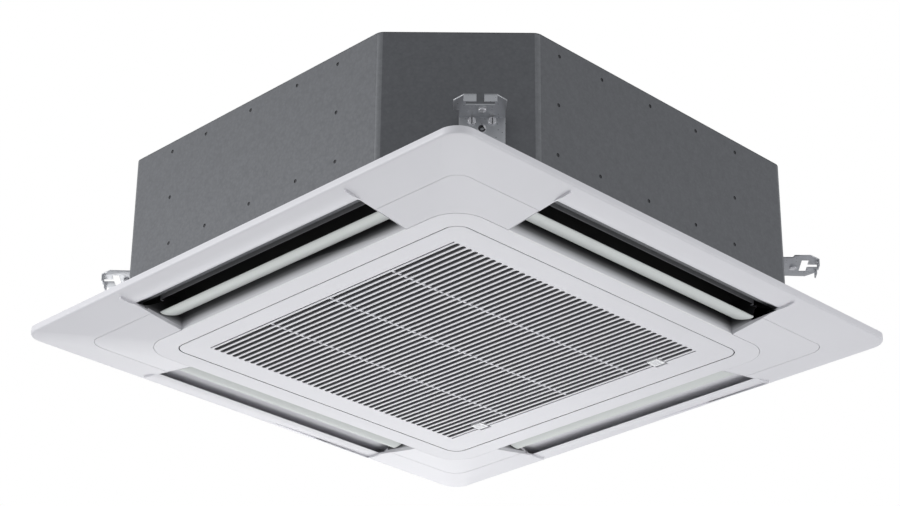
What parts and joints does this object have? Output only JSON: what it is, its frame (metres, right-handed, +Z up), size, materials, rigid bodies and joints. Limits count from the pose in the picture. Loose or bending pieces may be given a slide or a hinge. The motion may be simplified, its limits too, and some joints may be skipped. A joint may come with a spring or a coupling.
{
  "type": "ceiling cassette air conditioner",
  "caption": "Square ceiling cassette air conditioner: sloped panel with a slatted intake grille and air outlets with tilting vanes, under a sheet-metal cabinet with hanger brackets.",
  "frame": {"origin": "centre of the panel, in the plane of the ceiling on which the panel closes", "axes": "+Z up into the ceiling, -Z down into the room, -Y towards the side on which the intake grille hinges, +X to the right as seen from above with the hinge side nearest"},
  "size_m": [0.95, 0.95, 0.2736],
  "materials": {
    "panel_white": "satin moulded plastic, faintly cool white",
    "vane_grey": "satin, slightly green light grey",
    "galvanised_steel": "dull spangled zinc",
    "zinc_plate": "bright zinc plating",
    "white_foam": "fine-beaded expanded foam",
    "dark_foam": "closed-cell foam",
    "black_plastic": "satin",
    "grey_plastic": "satin",
    "fin_aluminium": "thin bright fins",
    "copper": "drawn copper tube",
    "brass": "forged brass",
    "steel": "turned steel",
    "rubber": "matt",
    "board_green": "lacquered laminate",
    "filter_net": "woven net in a moulded frame"
  },
  "bodies": {
    "cabinet": {"panel_frame": "panel_white", "corner_cover_back_right": "panel_white", "panel_screw_back_right": "steel", "hanger_bracket_back_right": "zinc_plate", "corner_cover_back_left": "panel_white", "panel_screw_back_left": "steel", "hanger_bracket_back_left": "zinc_plate", "corner_cover_front_left": "panel_white", "panel_screw_front_left": "steel", "hanger_bracket_front_left": "zinc_plate", "corner_cover_front_right": "panel_white", "panel_screw_front_right": "steel", "hanger_bracket_front_right": "zinc_plate", "vane_motor_right": "grey_plastic", "vane_motor_back": "grey_plastic", "vane_motor_left": "grey_plastic", "vane_motor_front": "grey_plastic", "cabinet_wall": "galvanised_steel", "top_plate": "galvanised_steel", "wall_lining": "dark_foam", "top_insulation": "dark_foam", "drain_pan": "white_foam", "bell_mouth": "black_plastic", "fan_motor": "galvanised_steel", "motor_damper_1": "rubber", "motor_damper_2": "rubber", "motor_damper_3": "rubber", "heat_exchanger": "fin_aluminium", "coil_end_plate_back": "galvanised_steel", "coil_end_plate_left": "galvanised_steel", "coil_baffle": "galvanised_steel", "gas_pipe": "copper", "liquid_pipe": "copper", "gas_flare_nut": "brass", "liquid_flare_nut": "brass", "pipe_cover_plate": "galvanised_steel", "pump_bracket": "galvanised_steel", "drain_pump": "grey_plastic", "float_switch": "panel_white", "drain_hose": "rubber", "drain_socket": "grey_plastic", "control_box": "galvanised_steel", "control_lid": "galvanised_steel", "circuit_board": "board_green", "terminal_block": "black_plastic", "air_sensor": "black_plastic", "cable_gland": "rubber"},
    "fan": {"turbo_fan": "grey_plastic", "motor_shaft": "steel", "fan_nut": "steel"},
    "grille": {"intake_grille": "panel_white", "air_filter": "filter_net"},
    "latch_left": {"grille_latch_left": "panel_white"},
    "latch_right": {"grille_latch_right": "panel_white"},
    "vane_right": {"vane_right": "vane_grey"},
    "vane_back": {"vane_back": "vane_grey"},
    "vane_left": {"vane_left": "vane_grey"},
    "vane_front": {"vane_front": "vane_grey"}
  },
  "joints": [
    {"name": "vane_right_tilt", "type": "hinge", "parent": "cabinet", "child": "vane_right", "pos_m": [0.3723, 0, -0.00678], "axis": [0, 1, 0], "range_deg": [-26, 45]},
    {"name": "vane_back_tilt", "type": "hinge", "parent": "cabinet", "child": "vane_back", "pos_m": [0, 0.3723, -0.00678], "axis": [-1, 0, 0], "range_deg": [-26, 45]},
    {"name": "vane_left_tilt", "type": "hinge", "parent": "cabinet", "child": "vane_left", "pos_m": [-0.3723, 0, -0.00678], "axis": [0, -1, 0], "range_deg": [-26, 45]},
    {"name": "vane_front_tilt", "type": "hinge", "parent": "cabinet", "child": "vane_front", "pos_m": [0, -0.3723, -0.00678], "axis": [1, 0, 0], "range_deg": [-26, 45]},
    {"name": "grille_swing", "type": "hinge", "parent": "cabinet", "child": "grille", "pos_m": [0, -0.287, -0.0236], "axis": [-1, 0, 0], "range_deg": [0, 85]},
    {"name": "latch_left_slide", "type": "slide", "parent": "grille", "child": "latch_left", "axis": [0, 1, 0], "range_m": [0, 0.005]},
    {"name": "latch_right_slide", "type": "slide", "parent": "grille", "child": "latch_right", "axis": [0, 1, 0], "range_m": [0, 0.005]},
    {"name": "fan_spin", "type": "hinge", "parent": "cabinet", "child": "fan", "pos_m": [0, 0, 0.15], "axis": [0, 0, 1], "continuous": true}
  ]
}
